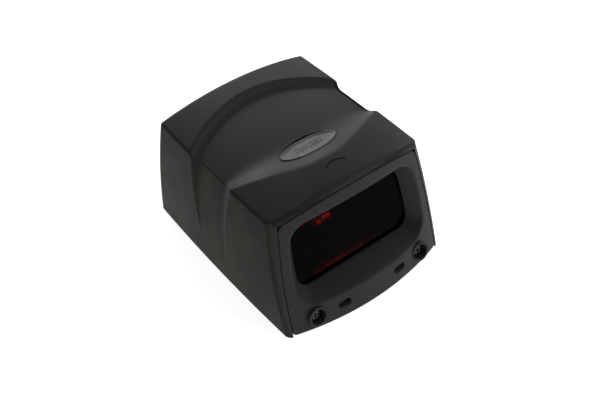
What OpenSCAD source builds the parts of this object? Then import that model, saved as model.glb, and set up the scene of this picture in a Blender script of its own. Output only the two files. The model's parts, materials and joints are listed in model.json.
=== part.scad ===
// Compact fixed-mount laser barcode scanner with a slanted, recessed window.
// X is the width, the scan window faces -Y and leans back, +Z is up.
// The origin is the middle of the underside, and every length is in millimetres.

/* [Housing] */
// Width of the housing at its front and rear corners, at the underside
body_w = 77; // [74:0.5:82]
// How far each side wall swells out between the corners
side_bulge = 1.26; // [0.5:0.1:2]
// How far each side wall swells out at half its height
side_barrel = 1.15; // [0.4:0.05:1.4]
// Depth of the housing at the underside, on the centre line
body_d = 92.7; // [91:0.1:94]
// Height of the rear edge on the centre line
rear_h = 50.1; // [49:0.1:53]
// Inward lean of the side walls in degrees
side_draft = 4.6; // [3:0.1:6]
// Backward lean of the front face in degrees
front_lean = 19.25; // [17:0.25:21]
// Radius of the bowed front face in plan
front_r = 134; // [126:2:170]
// Radius of the crowned top
crown_r = 138; // [120:2:180]
// Rise of the top towards the front in degrees
top_tilt = 1.5; // [0.5:0.1:2.5]
// Wall thickness of the housing
wall = 2.2; // [1.8:0.1:2.6]

/* [Waist] */
// Depth of the waist across the top, on the centre line
waist_deep = 2.7; // [2.2:0.1:3.2]
// Depth of the waist in the side walls at their top edge
waist_side = 2.1; // [1.4:0.1:2.3]
// Where the rear edge of the waist crosses the centre line
waist_rear_y = 36.1; // [34:0.1:37]
// Where the front edge of the waist crosses the centre line
waist_front_y = -13.2; // [-15:0.1:-12]

/* [Bezel and window] */
// Gap between the bezel and the housing rim
bezel_gap = 0.35; // [0.2:0.05:0.5]
// Thickness of the bezel plate
bezel_t = 2.4; // [2:0.1:3]
// Depth of the recess from the front face to the window seat
recess_d = 9; // [7:0.5:10]
// Width of the window opening
window_w = 54.8; // [50:0.2:56]
// Height of the window opening along the lean
window_h = 28.1; // [24:0.1:28.4]
// Distance between the two bezel screws
bezel_screw_pitch = 52.6; // [50:0.2:54]

/* [Mounting] */
// Spacing of the threaded inserts across the width
insert_x = 40; // [36:1:42]
// Spacing of the threaded inserts along the depth
insert_y = 44; // [40:1:46]
// Tapping bore radius of the M3 inserts
insert_bore_r = 1.25; // [1.2:0.05:1.3]

/* [Scan motor] */
// Where the spin axis stands on the centre line
wheel_y = -6; // [-7:0.25:-5]
// Distance from the spin axis to the wheel faces
wheel_flat = 9.8; // [9:0.1:10]
// Radius of the motor shaft
shaft_r = 1; // [0.8:0.1:1.2]

/* [Hidden] */

eps = 0.02;            // clearance of pieces that are fixed together
reach = 160;           // longer than any cut through the housing
bezel_lift = 0.5;      // the bezel stops this far above the underside
front_y = -body_d / 2 - bezel_lift * tan(front_lean);
rear_y = body_d / 2;
side_x = body_w / 2 + side_bulge;
side_r = (pow(body_d / 2, 2) + side_bulge * side_bulge) / (2 * side_bulge);

// Rim of the housing above the bezel: a steeper band between the front face and the top
rim_z = 50;
rim_y = front_y + rim_z * tan(front_lean);
rim_lean = 45;
rim_side = 2;          // width of the rim beside the bezel

// Waist: slope angles of its rear and front flanks, and the radii of those flanks
rear_flank = 37;
front_flank = 12.7;
rear_flank_r = 157;
front_flank_r = 558;
waist_crown_r = 155;
waist_foot_z = 12;
waist_lean = atan(tan(side_draft) + waist_side / (rear_h - 4.5 - waist_foot_z));

// Levels of the inner structure
base_t = 3;
board_z = 5.8;
board_t = 1.6;
chassis_z = 11.5;
chassis_t = 2;
board_top = board_z + board_t;
chassis_top = chassis_z + chassis_t;
beam_z = 24;

// Screw columns of the housing, in the positive-x half
column_at = [[33, 38], [33, -4]];
column_r = 3.2;
column_top = 16;
// Posts for the optical chassis and for the main board
post_at = [[25, -18], [25, 17]];
standoff_at = [[12, -23], [24, 37]];
// Front screws, their height and the level of the latch slots
bezel_screw_s = 6.6;
bezel_seat_d = 5.6;
latch_x = 14;
latch_z = 5.6;
latch_w = 5.6;
latch_h = 2.8;

// Window opening: its lower end along the lean, its corner radius
window_s = 16.9;
window_corner = 5.5;
recess_flare = 0.67;
pane_t = 2;
gasket_t = 0.6;
pane_lip = 1.9;

// Badge and status light on the top
badge_x = 13;
badge_y = 5.2;
badge_at = [0, -2.3, 49];
badge_tilt = 15;
light_r = 7;
light_y = -23.9;
light_w = 0.7;
light_span = 41;

// Rear interface jack
jack_w = 14;
jack_h = 12.5;
jack_d = 17.2;
jack_y = rear_y - 0.5 - jack_d;
plug_w = 11.8;
plug_h = 7;
plug_z = board_top + 1.8;

// Pattern mirrors: [angle round the spin axis, distance, width, foot, height]
mirror_set = [
    [10, 24.5, 12, 19, 20], [50, 30, 13, 31, 10.5], [90, 30.5, 15, 31, 10.5],
    [130, 30, 13, 31, 10.5], [170, 24.5, 12, 19, 20]
];
mirror_t = 1.8;
mirror_tilt = 8;
mirror_back = 2;

// Clamp over the laser barrel
clamp_y = 14;
clamp_screw_x = 6.8;

// Receiver beside the laser
receiver_x = 14.5;
receiver_z = 21.5;

// ---------- helpers ----------

// Both sides of the centre plane
module both_sides() {
    children();
    mirror([1, 0, 0]) children();
}

// Turns the local z axis to +Y
module along_y(at) { translate(at) rotate([-90, 0, 0]) children(); }

// Plane of the front face: local y runs up the lean, local z points out
module on_front() { translate([0, front_y, 0]) rotate([90 - front_lean, 0, 0]) children(); }

// Seats of the two bezel screws, with local z pointing out of the front face
module at_bezel_screws() {
    both_sides() on_front() translate([bezel_screw_pitch / 2, bezel_screw_s, -bezel_seat_d])
        children();
}

module tube(outer, inner, h) {
    difference() {
        cylinder(r = outer, h = h, $fn = 64);
        translate([0, 0, -1]) cylinder(r = inner, h = h + 2, $fn = 64);
    }
}

// Screw with its seat at the origin, its head above and its shank below
module screw(head_r, head_h, shank_r, length) {
    difference() {
        rotate_extrude($fn = 48) polygon([
            [0, -length], [shank_r * 0.6, -length], [shank_r, -length + shank_r * 0.8],
            [shank_r, 0], [head_r, 0], [head_r, head_h * 0.55],
            [head_r * 0.82, head_h * 0.88], [head_r * 0.5, head_h], [0, head_h]
        ]);
        for (a = [0, 90]) rotate(a)
            translate([-head_r * 0.55, -head_r * 0.1, head_h * 0.45])
                cube([head_r * 1.1, head_r * 0.2, head_h]);
    }
}

module rounded_rect(w, d, r) {
    union() {
        square([w - 2 * r, d], center = true);
        square([w, d - 2 * r], center = true);
        for (x = [-1, 1], y = [-1, 1])
            translate([x * (w / 2 - r), y * (d / 2 - r)]) circle(r = r, $fn = 48);
    }
}

function ellipse(a, b, n) = [for (i = [0:n - 1]) [a * cos(360 * i / n), b * sin(360 * i / n)]];

// ---------- housing surfaces ----------

// Space between the two side walls: drafted, bowed in plan, and steeper in their lower half
module between_sides(foot_x, lean, inset) {
    half_z = rear_h / 2;
    turn = side_barrel / half_z;
    intersection_for (m = [0, 1], upper = [0, 1])
        mirror([m, 0, 0]) translate([foot_x + 2 * side_barrel * upper, 0, 0])
            rotate([0, -atan(tan(lean) + turn * (2 * upper - 1)), 0])
                translate([-side_r, 0, -30]) cylinder(r = side_r - inset, h = 120, $fn = 720);
}

// Space below a crowned top, which rises towards the front
module below_crown(z, r, inset) {
    translate([0, rear_y, z]) rotate([90 - top_tilt, 0, 0])
        translate([0, -r, -20]) cylinder(r = r - inset, h = 140, $fn = 720);
}

// Space behind the bowed front face
module behind_front(inset) {
    on_front() translate([0, -60, -front_r]) rotate([-90, 0, 0])
        cylinder(r = front_r - inset, h = reach, $fn = 720);
}

// Space behind the steeper rim above the bezel
module behind_rim(inset) {
    translate([0, rim_y, rim_z]) rotate([90 - rim_lean, 0, 0]) translate([0, -80, -front_r])
        rotate([-90, 0, 0]) cylinder(r = front_r - inset, h = reach, $fn = 720);
}

// Housing shape with its walls moved in; the front stays where front_in puts it
module body_shape(inset, front_in) {
    intersection() {
        translate([-60, -80, 0]) cube([120, 80 + rear_y - inset, 70]);
        between_sides(side_x, side_draft, inset);
        below_crown(rear_h, crown_r, inset);
        behind_front(front_in);
        behind_rim(front_in < 0 ? front_in : inset);
    }
}

// Trough across the top between the rear and the front flank
module waist_trough(grow) {
    crest = function (y) rear_h + (rear_y - y) * tan(top_tilt);
    intersection() {
        translate([0, waist_rear_y + grow, crest(waist_rear_y)]) rotate([90 + rear_flank, 0, 0])
            translate([0, rear_flank_r, -60]) cylinder(r = rear_flank_r, h = reach, $fn = 720);
        translate([0, waist_front_y - grow, crest(waist_front_y)])
            rotate([90 - front_flank, 0, 0]) translate([0, front_flank_r, -90])
                cylinder(r = front_flank_r, h = reach, $fn = 720);
    }
}

// Band that carries the waist down the side walls
module waist_band(grow) {
    rotate([90, 0, 90]) translate([0, 0, -50]) linear_extrude(100) polygon([
        [-2 - grow, 8], [14 + grow, 8], [14.4 + grow, 15], [16.9 + grow, 27],
        [18.6 + grow, 40], [20.2 + grow, 52], [1.2 - grow, 52], [0.6 - grow, 42],
        [-1.2 - grow, 22]
    ]);
}

// Shape of the body at the bottom of the waist
module waist_core(inset) {
    foot_x = side_x + waist_foot_z * (tan(waist_lean) - tan(side_draft));
    intersection() {
        between_sides(foot_x, waist_lean, inset);
        below_crown(rear_h - waist_deep, waist_crown_r, inset);
    }
}

module waist(grow, inset) {
    difference() {
        union() { waist_trough(grow); waist_band(grow); }
        waist_core(inset);
    }
}

// Everything in front of the inner face of the bezel, inside the housing rim
module front_zone(side_in, top_in, depth) {
    difference() {
        intersection() {
            translate([-60, -80, -5]) cube([120, 100, 90]);
            between_sides(side_x, side_draft, side_in);
            on_front() translate([0, rim_z / cos(front_lean) - top_in - 241, -30])
                cylinder(r = 241, h = 90, $fn = 720);
        }
        behind_front(depth);
    }
}

// Oval outline of the badge seat
module badge_prism(extra, z0, h) {
    translate(badge_at) rotate([-badge_tilt, 0, 0]) translate([0, 0, z0])
        linear_extrude(h) polygon(ellipse(badge_x + extra, badge_y + extra, 64));
}

// Arc of the status light
module light_arc(extra, h) {
    intersection() {
        tube(light_r + light_w / 2 + extra, light_r - light_w / 2 - extra, h);
        linear_extrude(h) polygon([
            [0, 0], [-20 * sin(light_span + extra), 20 * cos(light_span + extra)], [0, 30],
            [20 * sin(light_span + extra), 20 * cos(light_span + extra)]
        ]);
    }
}

module top_housing() {
    color([0.13, 0.14, 0.16]) difference() {
        union() {
            difference() {
                body_shape(0, 0);
                waist(0, 0);
                // inner space, kept a wall away from the waist
                difference() {
                    translate([0, 0, -1]) body_shape(wall, -30);
                    waist(3, wall);
                }
                translate([0, 0, -5]) linear_extrude(6) intersection() {
                    square([2 * side_x - 2 * wall - 1, body_d - 2 * wall], center = true);
                }
            }
            intersection() {
                body_shape(0.6, 0);
                both_sides() for (p = column_at) {
                    translate([p.x, p.y, base_t + eps])
                        cylinder(r = column_r, h = column_top - base_t, $fn = 48);
                    translate([p.x, p.y - 1, base_t + eps])
                        cube([8, 2, column_top - base_t]);
                }
            }
            // bosses that carry the indicator board
            both_sides() translate([8.5, -11, 44 + eps]) cylinder(r = 1.9, h = 5, $fn = 32);
        }
        front_zone(rim_side, 0, bezel_t + 0.2);
        translate([-jack_w / 2 - 0.3, rear_y - 5, board_top - 0.3])
            cube([jack_w + 0.6, 10, jack_h + 0.6]);
        translate([0, light_y, 40]) light_arc(0.05, 20);
        badge_prism(0.3, -0.8, 10);
        both_sides() for (p = column_at)
            translate([p.x, p.y, 0]) cylinder(r = 1.25 + eps, h = 13, $fn = 32);
        both_sides() translate([8.5, -11, 40]) cylinder(r = 0.8 + eps, h = 7, $fn = 24);
    }
}

// ---------- front ----------

// Flared recess: a rounded outline that narrows towards the window
module recess(extra) {
    mid_s = window_s + window_h / 2;
    hull() {
        on_front() translate([0, mid_s, -recess_d]) linear_extrude(0.01)
            rounded_rect(window_w + 2 * extra, window_h + 2 * extra, window_corner);
        on_front() translate([0, mid_s - 1.9, 2]) linear_extrude(0.01)
            rounded_rect(
                window_w + 2 * extra + 2 * recess_flare * (recess_d + 2),
                window_h + 2 * extra + 11, window_corner + 5);
    }
}

module front_bezel() {
    frame_w = window_w + 2 * pane_lip + 2.8;
    frame_h = window_h + 2 * pane_lip + 2.8;
    mid_s = window_s + window_h / 2;
    color([0.2, 0.21, 0.22]) difference() {
        union() {
            intersection() {
                front_zone(rim_side + bezel_gap, bezel_gap, bezel_t);
                behind_front(0);
                translate([-60, -80, bezel_lift]) cube([120, 100, 70]);
            }
            intersection() {
                recess(1.8);
                behind_front(1);
                on_front() translate([-50, -5, -recess_d]) cube([100, 80, reach / 2]);
            }
            // frame that holds the window behind the recess
            on_front() translate([0, mid_s, -recess_d - gasket_t - pane_t - 0.5])
                linear_extrude(gasket_t + pane_t + 2)
                    rounded_rect(frame_w, frame_h, 2.5);
            at_bezel_screws() translate([0, 0, -1.5]) cylinder(r = 4.3, h = 5.5, $fn = 48);
        }
        recess(0);
        on_front() translate([0, mid_s, -recess_d - 10]) linear_extrude(10)
            rounded_rect(window_w + 2 * pane_lip, window_h + 2 * pane_lip, 1.5);
        // material of the screw seats in front of the face, and the screw bores
        difference() {
            translate([-60, -90, -5]) cube([120, 70, 80]);
            behind_front(0);
        }
        at_bezel_screws() {
            cylinder(r = 3.25, h = 16, $fn = 48);
            translate([0, 0, -3]) cylinder(r = 1.5, h = 6, $fn = 32);
        }
        both_sides() translate([latch_x, 0, latch_z]) rotate([90, 0, 0]) linear_extrude(60)
            rounded_rect(latch_w, latch_h, 1.39);
        translate([-60, -80, -5]) cube([120, 100, 5 + bezel_lift]);
    }
}

module window_gasket() {
    mid_s = window_s + window_h / 2;
    color([0.08, 0.08, 0.08]) on_front() translate([0, mid_s, -recess_d - gasket_t])
        linear_extrude(gasket_t - eps) difference() {
            rounded_rect(window_w + 2 * pane_lip - 0.1, window_h + 2 * pane_lip - 0.1, 1.4);
            rounded_rect(window_w + 0.4, window_h + 0.4, window_corner);
        }
}

module scan_window() {
    mid_s = window_s + window_h / 2;
    color([0.35, 0.02, 0.03, 0.8]) on_front()
        translate([0, mid_s, -recess_d - gasket_t - pane_t]) linear_extrude(pane_t - eps)
            rounded_rect(window_w + 2 * pane_lip - 0.1, window_h + 2 * pane_lip - 0.1, 1.4);
}

module bezel_screws() {
    color("dimgray") at_bezel_screws() screw(2.75, 1.9, 1.25, 7);
}

// ---------- base ----------

module base_cover() {
    color([0.14, 0.14, 0.15]) difference() {
        union() {
            intersection() {
                body_shape(wall + 0.3, bezel_t + 0.3);
                translate([-60, -60, 0]) cube([120, 120, base_t]);
            }
            // blocks for the bezel screws
            intersection() {
                at_bezel_screws() translate([-4, -8, -9.6]) cube([8, 12, 8]);
                translate([-60, -60, 0]) cube([120, 120, 10]);
            }
            both_sides() {
                for (p = post_at) translate([p.x, p.y, 0]) cylinder(r = 3, h = 9.5, $fn = 48);
                for (p = standoff_at)
                    translate([p.x, p.y, 0]) cylinder(r = 2.6, h = board_z - eps, $fn = 48);
                for (y = [-1, 1]) translate([insert_x / 2, y * insert_y / 2, 0])
                    cylinder(r = 3.6, h = 5.4, $fn = 48);
                // latch tongues that enter the slots of the bezel
                translate([latch_x - 2.3, front_y + 4.2, latch_z - 1]) cube([4.6, 5.8, 1.4]);
                translate([latch_x - 2.3, front_y + 7.6, 1]) cube([4.6, 2.4, latch_z - 0.4]);
            }
        }
        both_sides() {
            for (p = column_at) translate([p.x, p.y, -1]) {
                cylinder(r = 1.45, h = 6, $fn = 32);
                cylinder(r = 2.7, h = 2.7, $fn = 48);
            }
            for (p = post_at) translate([p.x, p.y, 3]) cylinder(r = 1 + eps, h = 8, $fn = 24);
            for (p = standoff_at)
                translate([p.x, p.y, 1.6]) cylinder(r = 0.9 + eps, h = 6, $fn = 24);
            for (y = [-1, 1]) translate([insert_x / 2, y * insert_y / 2, -1])
                cylinder(r = 2.3 + eps, h = 5.6 + eps, $fn = 48);
        }
        at_bezel_screws() {
            translate([0, 0, -8]) cylinder(r = 1.25 + eps, h = 9, $fn = 32);
            translate([0, 0, -1.6]) cylinder(r = 4.5, h = 10, $fn = 48);
        }
    }
}

module mounting_inserts() {
    color("goldenrod") both_sides()
        for (y = [-1, 1]) translate([insert_x / 2, y * insert_y / 2, 0]) difference() {
            rotate_extrude($fn = 64) polygon([
                [insert_bore_r, 0], [2.3, 0], [2.3, 1.9], [2.1, 2.1], [2.1, 2.5],
                [2.3, 2.7], [2.3, 4.2], [2, 4.6], [insert_bore_r, 4.6]
            ]);
            translate([0, 0, -1]) cylinder(r = insert_bore_r, h = 8, $fn = 32);
        }
}

module base_screws() {
    color("dimgray") both_sides() for (p = column_at)
        translate([p.x, p.y, 1.7]) rotate([180, 0, 0]) screw(2.4, 1.5, 1.25, 10.5);
}

// ---------- top fittings ----------

module badge_plate() {
    color([0.62, 0.6, 0.6]) difference() {
        badge_prism(0, -0.8 + eps, 0.8);
        // raised rim round a shallow field
        badge_prism(-0.9, -0.12, 1);
    }
}

module status_light_guide() {
    color([0.85, 0.9, 0.95, 0.7]) {
        intersection() {
            translate([0, light_y, 45.3]) light_arc(0, 20);
            body_shape(0.25, 1);
        }
        // wide foot under the roof that gathers the light
        intersection() {
            translate([0, light_y, 45.3]) difference() {
                light_arc(1.1, 2.9);
                light_arc(0, 20);
            }
            body_shape(wall + 0.3, 1);
        }
    }
}

module indicator_board() {
    color("darkgreen") difference() {
        translate([-14.5, -20, 43]) cube([25.5, 11.5, 1]);
        both_sides() translate([8.5, -11, 42]) cylinder(r = 1, h = 3, $fn = 24);
    }
}

module indicator_leds() {
    color("white") for (x = [-3.4, 0, 3.4])
        translate([x - 0.8, light_y + sqrt(light_r * light_r - x * x) - 0.6, 44 + eps])
            cube([1.6, 1.2, 0.9]);
}

module indicator_screws() {
    color("silver") both_sides()
        translate([8.5, -11, 43 - eps]) rotate([180, 0, 0]) screw(1.6, 1, 0.8, 3.6);
}

// Ribbon from the main board up the left wall and along the roof
module flex_cable() {
    ribbon_w = 5;
    ribbon_y = -13.4;
    ribbon_t = 0.3;
    bend = 2;
    left = -31.2;
    low = board_top + 2.2;
    high = 42.9;
    color([0.75, 0.45, 0.12]) translate([0, ribbon_y, 0]) {
        translate([left, 0, low + bend]) cube([ribbon_t, ribbon_w, high - low - 2 * bend]);
        translate([left + bend, 0, high - ribbon_t]) cube([18.8, ribbon_w, ribbon_t]);
        translate([left + bend, 0, low]) cube([2.6, ribbon_w, ribbon_t]);
        for (turn = [[high - bend, 90], [low + bend, 180]])
            translate([left + bend, ribbon_w, turn[0]]) rotate([90, 0, 0])
                intersection() {
                    tube(bend, bend - ribbon_t, ribbon_w);
                    rotate(turn[1]) cube([bend, bend, ribbon_w]);
                }
    }
}

// ---------- main board ----------

module main_board() {
    color("darkgreen") difference() {
        translate([-29.5, -26, board_z]) cube([59, 67, board_t]);
        both_sides() {
            for (p = post_at) translate([p.x, p.y, 0]) cylinder(r = 3.6, h = 20, $fn = 48);
            for (p = standoff_at) translate([p.x, p.y, 0]) cylinder(r = 1.1, h = 20, $fn = 24);
        }
    }
}

module board_screws() {
    color("silver") both_sides() for (p = standoff_at)
        translate([p.x, p.y, board_top + eps]) screw(1.9, 1.3, 0.9, 5);
}

module logic_chips() {
    // [x, y, width, depth, height]
    chips = [
        [-9, -8, 12, 12, 1.4], [8, -10, 8, 12, 1.2], [9, 6, 10, 7, 1.5],
        [-10, 9, 6, 5, 1.2], [-19, -6, 5, 4, 1.1], [19, 2, 4, 6, 1.1], [0, 17, 7, 5, 1.2]
    ];
    color([0.1, 0.1, 0.1]) for (c = chips)
        translate([c[0] - c[2] / 2, c[1] - c[3] / 2, board_top + eps]) difference() {
            cube([c[2], c[3], c[4]]);
            translate([0.9, 0.9, c[4] - 0.1]) cylinder(r = 0.35, h = 1, $fn = 16);
        }
}

module capacitors() {
    color("silver") for (c = [[-23.5, 28, 3.15, 7], [-15.5, 31, 3.15, 7], [-16, 38, 2.5, 5.4]])
        translate([c[0], c[1], board_top + eps]) rotate_extrude($fn = 48) polygon([
            [0, 0], [c[2], 0], [c[2], c[3] - 0.3], [c[2] - 0.3, c[3]], [c[2] - 0.7, c[3]],
            [c[2] - 0.8, c[3] - 0.15], [0, c[3] - 0.15]
        ]);
}

module board_sockets() {
    // [x, y, width, depth, height]
    color("ivory") for (s = [[-26.1, -10.9, 3, 6.2, 3], [23, -7, 5, 7, 2.9], [16, 20, 8, 4, 3]])
        translate([s[0] - s[2] / 2, s[1] - s[3] / 2, board_top + eps]) difference() {
            cube([s[2], s[3], s[4]]);
            translate([-1, 0.5, s[4] - 1.1]) cube([s[2] + 2, s[3] - 1, 0.7]);
        }
}

module beeper() {
    color([0.12, 0.12, 0.12]) translate([16.5, 31, board_top + eps]) difference() {
        cylinder(r = 6, h = 8.4, $fn = 64);
        translate([0, 0, 7]) cylinder(r = 1.1, h = 3, $fn = 24);
        translate([0, 0, 7.9]) tube(4.6, 4.2, 3);
    }
}

module interface_jack() {
    color([0.09, 0.09, 0.1]) difference() {
        translate([-jack_w / 2, jack_y, board_top + eps]) cube([jack_w, jack_d, jack_h]);
        translate([-plug_w / 2, jack_y + 5.5, plug_z]) cube([plug_w, jack_d, plug_h]);
        translate([-3.2, jack_y + 5.5, plug_z + plug_h - 1]) cube([6.4, jack_d, 3.4]);
    }
}

module jack_contacts() {
    y0 = jack_y + 5.6;
    y1 = jack_y + jack_d - 1;
    color("gold") for (i = [0:9]) translate([(i - 4.5) * 1.02 - 0.25, 0, plug_z + eps])
        rotate([90, 0, 90]) linear_extrude(0.5) polygon([
            [y0, 0], [y1, 0], [y1 + 0.3, 0.3], [y1, 0.6], [y0 + 1.2, 2.4], [y0 + 1, 2],
            [y1 - 1, 0.3], [y0, 0.3]
        ]);
}

// ---------- optical chassis ----------

module optical_chassis() {
    block_y = 13;
    block_d = 11;
    color([0.17, 0.17, 0.18]) difference() {
        union() {
            translate([-29, -23, chassis_z]) cube([58, 45, chassis_t]);
            translate([-8, block_y, chassis_z]) cube([16, block_d, beam_z - chassis_z]);
            translate([receiver_x - 4, block_y, chassis_z])
                cube([8, 9, receiver_z - 6.3 - chassis_z]);
        }
        both_sides() for (p = post_at)
            translate([p.x, p.y, 0]) cylinder(r = 2.9, h = 30, $fn = 48);
        translate([0, wheel_y, 0]) cylinder(r = 3 + eps, h = 20, $fn = 48);
        along_y([0, 0, beam_z]) cylinder(r = 4.5 + eps, h = 60, $fn = 64);
        both_sides() {
            translate([clamp_screw_x, clamp_y + 3.5, beam_z - 6])
                cylinder(r = 0.8 + eps, h = 9, $fn = 24);
            translate([26.2, 6.5, 0]) cylinder(r = 0.9 + eps, h = 30, $fn = 24);
        }
    }
}

module chassis_isolators() {
    color([0.2, 0.2, 0.2]) both_sides() for (p = post_at)
        translate([p.x, p.y, 9.5 + eps]) rotate_extrude($fn = 64) polygon([
            [1.7, 0], [3.6, 0], [4, 0.4], [4, 1.5], [3.6, 1.98], [2.85, 1.98], [2.85, 4.02],
            [3.6, 4.02], [4, 4.4], [4, 5.4], [3.6, 5.8], [1.7, 5.8]
        ]);
}

module chassis_screws() {
    color("silver") both_sides() for (p = post_at) translate([p.x, p.y, 15.3 + 2 * eps]) {
        screw(3, 1.6, 1, 11.5);
        translate([0, 0, -5.8]) tube(1.6, 1 + eps, 5.8);
    }
}

// ---------- scan motor ----------

module motor_board() {
    color("darkgreen") translate([0, wheel_y, chassis_top + eps]) difference() {
        union() {
            cylinder(r = 11.5, h = 0.8, $fn = 64);
            translate([9, -4, 0]) cube([9, 8, 0.8]);
        }
        translate([0, 0, -1]) cylinder(r = 3.4, h = 4, $fn = 48);
    }
}

module bearing_sleeve() {
    color("goldenrod") translate([0, wheel_y, chassis_z + 0.5])
        tube(3, shaft_r + 0.03, 7.5);
}

module thrust_pad() {
    color("dimgray") translate([0, wheel_y, chassis_z]) cylinder(r = 2.9, h = 0.48, $fn = 48);
}

module stator_core() {
    color("slategray") translate([0, wheel_y, 15.2]) difference() {
        union() {
            cylinder(r = 4.4, h = 2.2, $fn = 48);
            for (i = [0:5]) rotate(60 * i) {
                translate([0, -0.8, 0]) cube([7.2, 1.6, 2.2]);
                intersection() {
                    tube(8, 7.1, 2.2);
                    translate([0, -3, 0]) cube([10, 6, 3]);
                }
            }
        }
        translate([0, 0, -1]) cylinder(r = 3 + eps, h = 5, $fn = 48);
    }
}

module stator_coils() {
    color([0.72, 0.38, 0.2]) translate([0, wheel_y, 14.7]) for (i = [0:5]) rotate(60 * i)
        difference() {
            translate([4.7, -1.55, 0]) cube([2.15, 3.1, 3.2]);
            translate([4, -0.8 - eps, 0.5 - eps]) cube([4, 1.6 + 2 * eps, 2.2 + 2 * eps]);
        }
}

module motor_shaft() {
    color("silver") translate([0, wheel_y, chassis_z + 0.6]) difference() {
        cylinder(r = shaft_r, h = 16.2, $fn = 48);
        translate([0, 0, 15.1]) tube(3, shaft_r - 0.15, 0.6);
    }
}

module rotor_cup() {
    color("gray") translate([0, wheel_y, 14.7]) difference() {
        cylinder(r = 10.2, h = 6.2, $fn = 64);
        translate([0, 0, -1]) cylinder(r = 9.7, h = 6.2, $fn = 64);
        cylinder(r = shaft_r + eps / 2, h = 20, $fn = 48);
        for (a = [0:60:300]) rotate(a) translate([6.4, 0, 0]) cylinder(r = 0.9, h = 20, $fn = 24);
    }
}

module rotor_magnet() {
    color([0.25, 0.25, 0.27]) translate([0, wheel_y, 14.9]) tube(9.68, 8.5, 4.2);
}

// Frame of one face of the wheel: x points out, and each face leans a little more
module wheel_face(i) { rotate(90 * i) rotate([0, 1.5 - i, 0]) children(); }

module mirror_wheel() {
    color([0.15, 0.15, 0.16]) translate([0, wheel_y, beam_z]) difference() {
        intersection() {
            translate([0, 0, -3]) cylinder(r = 12.4, h = 6.2, $fn = 64);
            intersection_for (i = [0:3]) wheel_face(i)
                translate([wheel_flat - 40, -20, -20]) cube([40, 40, 40]);
        }
        translate([0, 0, -9]) cylinder(r = shaft_r + eps / 2, h = 20, $fn = 48);
        for (a = [45:90:315]) rotate(a) translate([7, 0, 0.2]) cylinder(r = 2.2, h = 4, $fn = 32);
    }
}

module wheel_mirrors() {
    color("lightsteelblue") translate([0, wheel_y, beam_z]) for (i = [0:3]) wheel_face(i)
        translate([wheel_flat + eps, -6.4, -2.8]) cube([1.2, 12.8, 5.8]);
}

module wheel_clip() {
    color("silver") translate([0, wheel_y, chassis_z + 0.6 + 15.15]) difference() {
        cylinder(r = 2.4, h = 0.5, $fn = 48);
        translate([0, 0, -1]) cylinder(r = shaft_r - 0.1, h = 3, $fn = 48);
        translate([0, -0.6, -1]) cube([4, 1.2, 3]);
    }
}

// ---------- fixed mirrors ----------

// Frame of a pattern mirror: y points away from the spin axis, z up the leaning glass
module mirror_frame(m) {
    turn = (m[0] - 90) / 2;
    translate([m[1] * cos(m[0]), wheel_y + m[1] * sin(m[0]), m[3]])
        rotate([mirror_tilt, 0, turn]) children();
}

module pattern_mirrors() {
    color("lightsteelblue") for (m = mirror_set) mirror_frame(m)
        translate([-m[2] / 2, 0, 0]) cube([m[2], mirror_t, m[4]]);
}

module mirror_carrier() {
    shelf_z = 28.7;
    shelf_t = 1.8;
    color([0.17, 0.17, 0.18]) difference() {
        union() {
            for (m = mirror_set) mirror_frame(m)
                translate([-m[2] / 2 - 0.6, mirror_t + eps, -2])
                    cube([m[2] + 1.2, mirror_back, m[4] + 2.2]);
            translate([0, 0, shelf_z]) linear_extrude(shelf_t) polygon([
                [-20.5, 3.6], [-30.2, -4.6], [-30.2, 12], [-27.5, 22], [-11, 29.5], [11, 29.5],
                [27.5, 22], [30.2, 12], [30.2, -4.6], [20.5, 3.6], [24.5, 11], [20, 17.5],
                [8, 21.5], [-8, 21.5], [-20, 17.5], [-24.5, 11]
            ]);
            both_sides() {
                translate([26.6, 3.4, chassis_top + 3]) cube([2.2, 7, shelf_z - chassis_top - 2]);
                translate([23.4, 3.4, chassis_top + eps]) cube([5.4, 6.2, 3]);
            }
        }
        for (m = mirror_set) mirror_frame(m)
            translate([-m[2] / 2 - eps, -9, -eps])
                cube([m[2] + 2 * eps, mirror_t + 9 + eps, m[4] + 9]);
        both_sides() translate([26.2, 6.5, 0]) {
            cylinder(r = 1.05, h = chassis_top + 4, $fn = 24);
            translate([0, 0, chassis_top + 1.6]) cylinder(r = 2.2, h = 12, $fn = 32);
        }
    }
}

module carrier_screws() {
    color("silver") both_sides()
        translate([26.2, 6.5, chassis_top + 1.6 + eps]) screw(1.9, 1.3, 0.9, 3.4);
}

// ---------- laser ----------

module laser_barrel() {
    color("silver") along_y([0, 12, beam_z]) rotate_extrude($fn = 96) polygon([
        [1.2, 0], [4.1, 0], [4.5, 0.4], [4.5, 13], [2.9, 13], [2.9, 9.6], [2.1, 9.6],
        [2.1, 4.6], [3.3, 4.6], [3.3, 0.9], [1.2, 0.9]
    ]);
}

module laser_lens() {
    color([0.7, 0.85, 0.9, 0.6]) along_y([0, 12, beam_z]) rotate_extrude($fn = 64) polygon([
        [0, 1.3], [1.5, 1.45], [2.6, 1.8], [3.28, 2.3], [3.28, 4.4], [0, 4.4]
    ]);
}

module laser_diode() {
    color("goldenrod") along_y([0, 12, beam_z]) {
        rotate_extrude($fn = 64) polygon([
            [0, 7.4], [1.9, 7.4], [2, 7.5], [2, 9.7], [2.8, 9.7], [2.8, 11], [0, 11]
        ]);
        for (a = [90, 210, 330]) rotate(a) translate([1.1, 0, 11]) cylinder(r = 0.22, h = 5, $fn = 16);
    }
}

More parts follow.
